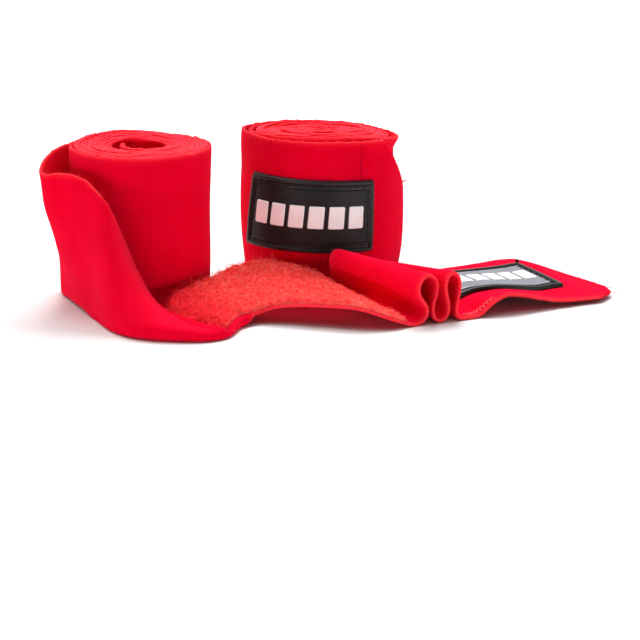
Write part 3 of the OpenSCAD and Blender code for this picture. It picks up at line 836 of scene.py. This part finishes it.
# Faces that labels, patches and seams lie on: points at s along, w across and o off the band's outer face
LABEL_DIR, LABEL_MID_Z = 259.6, 23.8
TAB_MID = 0.6 + LABEL_L / 2
FACE = 0.58
# Label corners as sewn, along and across: far or upper left and right, near or lower left and right
SEWN_ROLL = np.array([[-20.6, 14.1], [23.3, 12.1], [-25.2, -11.7], [22.7, -12.4]])
SEWN_TAB = np.array([[-22.6, 13.8], [18.9, 12.1], [-22.6, -11.6], [21.3, -13.8]])


def sewn(s, w, corners):
    """Label places drawn over its four corners, which aren't quite square."""
    a = (s / LABEL_L + 0.5)[..., None]
    b = (0.5 - w / LABEL_W)[..., None]
    upper = (1 - a) * corners[0] + a * corners[1]
    lower = (1 - a) * corners[2] + a * corners[3]
    spot = (1 - b) * upper + b * lower
    return spot[..., 0], spot[..., 1]


def on_roll(s, w, o):
    angle = LABEL_DIR + np.degrees(s / tip_r)
    z = LABEL_MID_Z + w
    return at_angle(SHUT_C, shut_face_r(angle, z) + FACE + o, np.radians(angle), z)


def on_tab(s, w, o):
    u, v = np.broadcast_arrays(TAB_MID + s, BAND_W / 2 + w)
    e = 0.4
    du = tab_point(u + e, v) - tab_point(u - e, v)
    dv = tab_point(u, v + e) - tab_point(u, v - e)
    return tab_point(u, v) + unit(np.cross(du, dv)) * (np.sign(o) * FACE + o)[..., None]


def under_tab(u, v, o):
    return on_tab(u - TAB_MID, v - BAND_W / 2, -o)


def plate(face, s, w, low, top):
    """Points and faces of a plate over the grid s by w, from one offset up to a height that may vary."""
    ss, ww = np.meshgrid(s, w[::-1], indexing="ij")
    height = top(ss, ww) if callable(top) else np.full(ss.shape, top)
    return two_sided(face(ss, ww, height), face(ss, ww, np.full(ss.shape, low)))


def slab(name, face, s, w, low, top, mat):
    verts, faces = plate(face, s, w, low, top)
    return add_mesh(name, verts, [faces], mat)


def fine_places(half, steps, n):
    """Places from -half to half, set close together at the given distances from both ends."""
    steps = np.asarray(steps)
    between = np.linspace(steps[-1] - half, half - steps[-1], n)[1:-1]
    return np.concatenate([steps - half, between, half - steps[::-1]])


def edge_distance(s, w, half_l, half_w, corner):
    """Distance inside a rectangle with rounded corners."""
    x, y = half_l - np.abs(s), half_w - np.abs(w)
    round_off = corner - np.hypot(np.maximum(corner - x, 0), np.maximum(corner - y, 0))
    return np.where((x < corner) & (y < corner), round_off, np.minimum(x, y))


# Labels: a backing with a raised rim, a panel, a row of plain blocks and stitches in the groove
RIM_W, GROOVE_W, PLATE, RIM_H = 1.7, 1.5, 0.9, 0.62
RIM_ROUND, RIM_FOOT = 0.55, 0.25
RIM_STEPS = [0, 0.1, 0.25, 0.5, 0.8, 1.2, 1.45, 1.6, 1.75, 1.95, 2.4, 3.0, 3.5]
PANEL_STEPS = [0, 0.06, 0.16, 0.3, 0.5, 0.9]
BLOCK_STEPS = [0, 0.06, 0.15, 0.3, 0.6]
HALF_L, HALF_W, INSET = LABEL_L / 2, LABEL_W / 2, RIM_W + GROOVE_W
BLOCKS, BLOCK_L, BLOCK_W, BLOCK_PITCH = 6, 5.0, 8.0, 6.4
STITCH_L, STITCH_PITCH = 2.3, 2.9


def rim_profile(s, w):
    d = edge_distance(s, w, HALF_L, HALF_W, 1.0)
    rise = crown(d, RIM_ROUND)
    rim = PLATE + RIM_H * rise * (1 - smooth((d - RIM_W + 0.25) / 0.4))
    return np.where(d < RIM_ROUND, RIM_FOOT + (rim - RIM_FOOT) * rise, rim)


def panel_profile(s, w):
    return PLATE + 0.42 * crown(edge_distance(s, w, HALF_L - INSET, HALF_W - INSET, 0.8), 0.4)


def label_blocks(face):
    """Points and faces of the row of plain blocks."""
    verts, faces = [], []
    at = 0
    for k in range(BLOCKS):
        mid = (k - (BLOCKS - 1) / 2) * BLOCK_PITCH
        inside = lambda s, w: edge_distance(s - mid, w, BLOCK_L / 2, BLOCK_W / 2, 0.7)
        top = lambda s, w: PLATE + 0.40 + 0.32 * crown(inside(s, w), 0.3)
        along = mid + fine_places(BLOCK_L / 2, BLOCK_STEPS, 9)
        v, f = plate(face, along, fine_places(BLOCK_W / 2, BLOCK_STEPS, 11), PLATE + 0.36, top)
        verts.append(v)
        faces.append(f + at)
        at += len(v)
    return np.concatenate(verts), np.concatenate(faces)


def label_stitches(face):
    """Paths of the stitches along all four sides."""
    t = np.linspace(0, 1, 6)
    hop = PLATE - 0.12 + 0.42 * np.sin(np.pi * t)
    end_s, end_w = HALF_L - RIM_W - GROOVE_W / 2, HALF_W - RIM_W - GROOVE_W / 2
    paths = []
    for side in (-1, 1):
        for s0 in np.arange(0.6 - end_s, end_s - 2.4, STITCH_PITCH):
            paths.append(face(s0 + STITCH_L * t, np.full_like(t, side * end_w), hop))
        for w0 in np.arange(0.6 - end_w, end_w - 2.4, STITCH_PITCH):
            paths.append(face(np.full_like(t, side * end_s), w0 + STITCH_L * t, hop))
    return paths


def knot(face):
    """A thread end knotted at the label's far corner."""
    turn = np.linspace(0, 5 * np.pi, 40)
    along, over = HALF_L - 0.9 + 0.5 * np.cos(turn), HALF_W - 0.6 + 0.5 * np.sin(turn)
    return face(along, over, PLATE + 0.75 + 0.05 * turn)


def label(which, face, body, field, *more_threads):
    base = slab(which + "_label_rim", face, fine_places(HALF_L, RIM_STEPS, 60),
                fine_places(HALF_W, RIM_STEPS, 34), 0.02, rim_profile, RUBBER)
    place(base, body, "label_rubber", which + "_label_base")
    panel = slab(which + "_label_field", face, fine_places(HALF_L - INSET, PANEL_STEPS, 60),
                 fine_places(HALF_W - INSET, PANEL_STEPS, 34), PLATE - 0.05, panel_profile, field)
    place(panel, body, "label_panel", which + "_label_panel")
    verts, faces = label_blocks(face)
    blocks = add_mesh(which + "_label_motif", verts, [faces], WHITE)
    place(blocks, body, "label_white", which + "_label_blocks")
    paths = label_stitches(face) + [path(face) for path in more_threads]
    stitches = tubes(which + "_label_stitches", paths, 0.2, BLACK_THREAD, 6)
    place(stitches, body, "sewing_thread", which + "_label_stitching")


label("closed", lambda s, w, o: on_roll(*sewn(s, w, SEWN_ROLL), o), BODY, PANEL)
# The open label's panel carries the painted reflection of the backdrop.
label("open", lambda s, w, o: on_tab(*sewn(s, w, SEWN_TAB), o), TAB_BODY, PANEL_TAB_REFLECTION, knot)

# Loop patch on the pulled-out band: a brushed ground that starts at the crease, and its stray fibres
PATCH_ROWS, PATCH_COLS, ROUTE_ROWS = 300, 150, 700
ROUTE_FROM, PATCH_TO = 16.0, len(ROUTE) - 1.25
PATCH_MARGIN, PATCH_W, PATCH_STEP, PILE_FALL = 0.7, 46, 0.32, 1.6
patch_share = np.linspace(0, 1, PATCH_COLS)
patch_from = crease_at(patch_share) + 0.06
face_p = route_grid(np.linspace(ROUTE_FROM, PATCH_TO, ROUTE_ROWS), patch_share, PATCH_MARGIN)
patch_s = patch_from + np.linspace(0, 1, PATCH_ROWS)[:, None] * (PATCH_TO - patch_from)
pick = (patch_s - ROUTE_FROM) / (PATCH_TO - ROUTE_FROM) * (ROUTE_ROWS - 1)
low_i = np.clip(pick.astype(int), 0, ROUTE_ROWS - 2)
part = (pick - low_i)[..., None]
cols = np.arange(PATCH_COLS)
patch_p, patch_n = [(1 - part) * g[low_i, cols] + part * g[low_i + 1, cols]
                    for g in (face_p, normals(face_p))]
lumps = soft_noise(31, (PATCH_ROWS, PATCH_COLS), 1.6)
lumps = lumps / lumps.std()
edge_w = np.minimum(patch_share, 1 - patch_share) * PATCH_W
edge_s = np.minimum(np.arange(PATCH_ROWS), np.arange(PATCH_ROWS)[::-1])[:, None] * PATCH_STEP
fall = smooth(np.minimum(edge_w, edge_s) / PILE_FALL)
pile_top = FACE + 0.1 + (1.1 + 0.3 * lumps) * (0.1 + 0.9 * fall)
verts, faces = two_sided(patch_p + patch_n * pile_top[..., None], patch_p + patch_n * (FACE - 0.05))
pile = add_mesh("open_loop_ground", verts, [faces], PILE)
place(pile, BODY, "loop_pile", "open_loop_patch")


def curly_paths(count, seed):
    r = np.random.default_rng(seed)
    paths, radii = [], []
    t = np.linspace(0, 1, 7)
    for _ in range(count):
        i, j = r.integers(2, PATCH_ROWS - 3), r.integers(2, PATCH_COLS - 3)
        n = patch_n[i, j]
        a = unit(np.cross(n, [0.3, 0.9, 0.1]))
        b = np.cross(n, a)
        head = r.uniform(0, 2 * np.pi)
        size = r.uniform(0.5, 1.0)
        turn = head + r.uniform(2.5, 6.0) * r.choice([-1, 1]) * t
        flat = np.cumsum(np.stack([np.cos(turn), np.sin(turn)], 1) * size * 0.42, 0)
        rise = size * r.uniform(0.35, 1.1) * np.sin(np.pi * t * r.uniform(0.6, 1.0))
        start = patch_p[i, j] + n * (pile_top[i, j] - 0.15)
        paths.append(start + flat[:, :1] * a + flat[:, 1:] * b + rise[:, None] * n)
        radii.append(r.uniform(0.035, 0.06))
    return paths, radii


def stray_paths(count, seed):
    """Longer fibres that stand up along the patch's far edge and left end."""
    r = np.random.default_rng(seed)
    paths = []
    t = np.linspace(0, 1, 8)[:, None]
    for _ in range(count):
        at_end = r.random() < 0.3
        i = int(abs(r.normal(0, 6))) if at_end else int(r.integers(0, 170))
        j = int(r.integers(0, PATCH_COLS - 2)) if at_end else int(abs(r.normal(0, 5)))
        i, j = min(i, PATCH_ROWS - 3), min(j, PATCH_COLS - 3)
        n = patch_n[i, j]
        d = unit(n + 0.9 * r.standard_normal(3))
        d[2] = abs(d[2])
        bend = 0.8 * r.standard_normal(3)
        reach = r.uniform(0.5, 2.4)
        paths.append(patch_p[i, j] + n * (pile_top[i, j] - 0.2) + reach * (t * d + t**2 * bend * 0.6))
    return paths


curls, curl_radii = curly_paths(6500, 32)
strays = stray_paths(700, 33)
fibres = tubes("open_loop_fibres", curls + strays, curl_radii + [0.032] * len(strays), FIBRE, 3)
place(fibres, BODY, "loop_pile")

# Hook patch under the end tab: a thin ground with rows of small hooks, bent to either side by turns
HOOK_U, HOOK_V, HOOK_PITCH, HOOK_STEM = (8.0, 46.0), (4.0, 46.0), 1.3, 0.35
hook_ground = slab("open_hook_ground", under_tab, np.linspace(*HOOK_U, 60), np.linspace(*HOOK_V, 60),
                   0.34, 0.02, HOOK)
place(hook_ground, TAB_BODY, "hook_tape", "open_hook_patch")
t = np.linspace(0, 1, 5)
bend = np.pi * 1.15 * np.clip(t - HOOK_STEM, 0, 1) / (1 - HOOK_STEM)
drop = 0.3 + np.minimum(t, HOOK_STEM) / HOOK_STEM * 0.42 + 0.22 * np.sin(bend)
hook_paths = []
for row, u0 in enumerate(np.arange(HOOK_U[0] + 0.8, HOOK_U[1] - 0.5, HOOK_PITCH)):
    odd = row % 2
    reach = 0.24 * (1 - np.cos(bend)) * (1 if odd else -1)
    for v0 in np.arange(HOOK_V[0] + 0.7 + HOOK_PITCH / 2 * odd, HOOK_V[1] - 0.5, HOOK_PITCH):
        hook_paths.append(under_tab(u0 + reach, np.full_like(t, v0), drop))
place(tubes("open_hooks", hook_paths, 0.09, HOOK, 4), TAB_BODY, "hook_tape")


# Closed wrap's own patches between the last two turns
def arc_slab(name, half, low, top, z0, z1, mat, seed):
    """A slightly rough strip behind the closing turn, from -half to half beside the label's middle."""
    rough = 0.12 * soft_noise(seed, (90, 40), 1.2)
    face = lambda s, w, o: on_roll(s, w, o - 2 * FACE)
    w = np.linspace(z0, z1, 40) - LABEL_MID_Z
    return slab(name, face, np.linspace(-half, half, 90), w, low, lambda s, w: top + rough, mat)


shut_hook = arc_slab("closed_hook_ground", 19, -0.62, -0.08, 3.5, 45, HOOK, 41)
place(shut_hook, BODY, "hook_tape", "closed_hook_patch")
shut_loop = arc_slab("closed_loop_ground", 29, -1.75, -0.95, 1.8, 46.5, PILE, 42)
place(shut_loop, BODY, "loop_pile", "closed_loop_patch")

# Thumb loops: rings of tape pressed flat in the cores
THUMB_TALL, TAPE_HALF = 18.0, 0.4
THUMB_REACH, THUMB_GAP = 6.0, 0.3


def ring_path(length, width, n):
    t = np.linspace(0, 2 * np.pi, n, endpoint=False)
    along = np.sign(np.cos(t)) * (length - width) / 2 * smooth(np.abs(np.cos(t)) * 4)
    return np.stack([along + width / 2 * np.cos(t), width / 2 * np.sin(t)], 1)


def thumb_loop(name, centre, angle, length, width, top, node):
    n, m = 120, 14
    turn = np.array([toward(angle), toward(angle + 90)])
    line = ring_path(length - 2 * TAPE_HALF, width - 2 * TAPE_HALF, n) @ turn
    t = unit(np.roll(line, -1, 0) - np.roll(line, 1, 0))
    out = np.stack([t[:, 1], -t[:, 0]], 1)
    w = np.linspace(0, 1, m)
    thick = TAPE_HALF * (0.5 + 0.5 * np.sqrt(np.clip(1 - (2 * w - 1) ** 6, 0, 1)))
    wave = 0.25 * np.sin(np.arange(n) * 2 * np.pi / n * 3)
    z = top - THUMB_TALL * w + wave[:, None]
    side = out[:, None] * thick[:, None]
    outer, inner = [np.concatenate([line[:, None] + centre + d, z[..., None]], -1) for d in (side, -side)]
    loops = np.concatenate([outer, inner[:, ::-1]], 1)
    k = 2 * m
    i, j = np.meshgrid(np.arange(n), np.arange(k), indexing="ij")
    i2, j2 = (i + 1) % n, (j + 1) % k
    quads = np.stack([i * k + j, i * k + j2, i2 * k + j2, i2 * k + j], -1).reshape(-1, 4)
    run = np.repeat(np.arange(n) * 0.25, k)
    wide = np.tile(np.concatenate([w, w[::-1]]) * THUMB_TALL, n)
    # rim marks the tape's edges for the elastic's painted highlight.
    rim = np.exp(-np.minimum(wide, THUMB_TALL - wide) / 0.5)
    ob = add_mesh(name, loops.reshape(-1, 3), [quads], TAPE, run=run, wide=wide, rim=rim, inner=0 * run)
    place(ob, BODY, "thumb_tape", node)


thumb_at = OPEN_C + (OPEN_CORE - BAND_T / 2 - THUMB_REACH - THUMB_GAP) * toward(OPEN_EXIT)
thumb_loop("open_thumb_tape", thumb_at, OPEN_EXIT, 11.8, 4.4, 47.2, "open_thumb_loop")
thumb_loop("closed_thumb_tape", SHUT_C, 0.0, 6.0, 3.0, 47.4, "closed_thumb_loop")


# Loose threads at the cut ends
def fray(ends, seed, shortest, longest):
    """Thread paths from places and directions."""
    r = np.random.default_rng(seed)
    paths = []
    t = np.linspace(0, 1, 7)[:, None]
    for p, d in ends:
        side = r.standard_normal(3) * 0.5
        reach = r.uniform(shortest, longest)
        paths.append(p + reach * (t * unit(d + 0.35 * side) + 0.25 * t**2 * side))
    return paths


tab_rows = tab_grid(FINE)
r = np.random.default_rng(51)
tab_ends = []
for _ in range(46):
    j = int(r.integers(3, len(FINE) - 3))
    start = tab_rows[-1, j] + [0, 0, r.uniform(-0.3, 0.3)]
    tab_ends.append((start, unit(tab_rows[-1, j] - tab_rows[-4, j]) + [0, 0, r.uniform(-0.1, 0.25)]))
tab_fray = [np.maximum(p, [-np.inf, -np.inf, 0.12]) for p in fray(tab_ends, 52, 0.6, 2.0)]
place(tubes("open_cut_threads", tab_fray, 0.09, RED_THREAD, 4), TAB_BODY, "red_elastic")
tip_ends = []
for _ in range(26):
    j = int(r.integers(6, len(FINE) - 4))
    tip_ends.append((tip_points[-1, j], unit(tip_points[-1, j] - tip_points[-4, j])))
tip_fray = fray(tip_ends, 53, 0.6, 2.6)
place(tubes("closed_cut_threads", tip_fray, 0.085, RED_THREAD, 4), TIP_BODY, "red_elastic")
loose = []
for height, reach, curl in ((33.2, 1.7, -0.9), (31.4, 2.1, 0.7), (30.2, 1.3, -0.5)):
    j = int(np.argmin(abs(tip_points[-1, :, 2] - height)))
    t = np.linspace(0, 1, 9)[:, None]
    loose.append(tip_points[-1, j] + t * [reach, -0.3, 0] + np.sin(2.6 * t) * [0, 0, curl])
place(tubes("closed_loose_threads", loose, 0.13, RED_THREAD, 5), TIP_BODY, "red_elastic")


# Short fuzz on the rolls' rims and the tail's upper edge
def fuzz(name, seed, *lines):
    """Fibres that stand on lines, each with its own count."""
    r = np.random.default_rng(seed)
    paths = []
    t = np.linspace(0, 1, 5)[:, None]
    for line, count in lines:
        for _ in range(count):
            p = line[int(r.integers(0, len(line)))] + r.normal(0, 0.25, 3)
            d = unit(np.array([0, 0, 0.8]) + 0.8 * r.standard_normal(3))
            paths.append(p + r.uniform(0.3, 1.0) * (t * d + 0.6 * t**2 * r.standard_normal(3)))
    place(tubes(name, paths, 0.035, RED_THREAD, 3), BODY, "red_elastic")


far_edge = whole[:, 0]
fuzz("open_rim_fuzz", 61, (open_turns[:, 0], 405), (far_edge[far_edge[:, 2] > 12], 495))
fuzz("closed_rim_fuzz", 62, (shut_turns[:, 0], 450), (closing[:, 0], 450))

# Zigzag seam along the tab's near edge
ZIG_U, ZIG_V = np.array([0, 0.1, 0.55, 1.0, 1.1]), np.array([0.9, 2.3, 2.9, 2.3, 0.9])
ZIG_UP = np.array([0.01, 0.13, 0.15, 0.13, 0.01])
zig = [on_tab(0.9 + k * 1.25 + ZIG_U - TAB_MID, ZIG_V - BAND_W / 2, ZIG_UP) for k in range(9)]
place(tubes("open_seam_stitches", zig, 0.13, PINK_THREAD, 5), TAB_BODY, "sewing_thread")

# Floor: near white, and glowing into the white sweep far from the part
FLOOR_HALF, FLOOR_Z = 3000, -0.02
white = surface("floor_white")
spot = white.place()
far = white.new("ShaderNodeVectorMath", operation="LENGTH")
white.put(far.inputs[0], spot)
grey = white.ramp(white.noise(spot, 6.0, 2.0), (0.3, (0.77, 0.77, 0.77)), (0.7, (0.79, 0.79, 0.79)))
glow = white.map_range(far.outputs["Value"], 0.22, 0.7, 0.0, 0.75)
white.finish(Base_Color=grey, Roughness=0.6, Specular_IOR_Level=0.1, Emission_Color=(1, 1, 1, 1),
             Emission_Strength=glow)
corners = [(x * FLOOR_HALF, y * FLOOR_HALF, FLOOR_Z) for x, y in ((-1, -1), (1, -1), (1, 1), (-1, 1))]
floor = add_mesh("floor", corners, [np.array([[0, 1, 2, 3]])], white.owner)


# Lights, in metres and watts
def area_light(name, where, aim, size, power, colour=(1, 1, 1)):
    data = bpy.data.lights.new(name, "AREA")
    data.shape = "RECTANGLE"
    data.size, data.size_y = size
    data.energy = power
    data.color = colour
    ob = bpy.data.objects.new(name, data)
    ob.location = where
    ob.rotation_euler = (Vector(aim) - Vector(where)).to_track_quat("-Z", "Y").to_euler()
    scene.collection.objects.link(ob)


area_light("back_soft", (0.05, 0.55, 0.90), (0, 0, 0), (0.6, 0.4), 10.0)
area_light("top_soft", (-0.30, 0.15, 1.10), (0, 0, 0.02), (0.6, 0.4), 6.0)
area_light("low_left", (-0.85, -0.70, 0.022), (0, 0, 0.022), (1.0, 0.03), 4.6)
area_light("low_right", (0.75, -0.75, 0.022), (0, 0, 0.022), (1.0, 0.03), 3.8)
# Stands for the red light that the thin band lets through onto the floor
area_light("through_run", (-0.006, -0.026, 0.0042), (-0.006, -0.026, 0), (0.046, 0.016), 0.0006,
           (1, 0.0, 0.035))

# World: a white sweep behind and above, a dark room in front, and white where the camera sees it
sky = Nodes(bpy.data.worlds.new("studio"), "Background")
axes = sky.split(sky.place("Generated"))
room = sky.map_range(sky.times_add(axes["Z"], 1.2, axes["Y"]), 0.1, 0.8, 0.01, 0.72, ease="LINEAR")
seen = sky.new("ShaderNodeLightPath").outputs["Is Camera Ray"]
scene.world = sky.finish(Color=(1, 1, 1, 1), Strength=sky.math("MAXIMUM", seen, room))
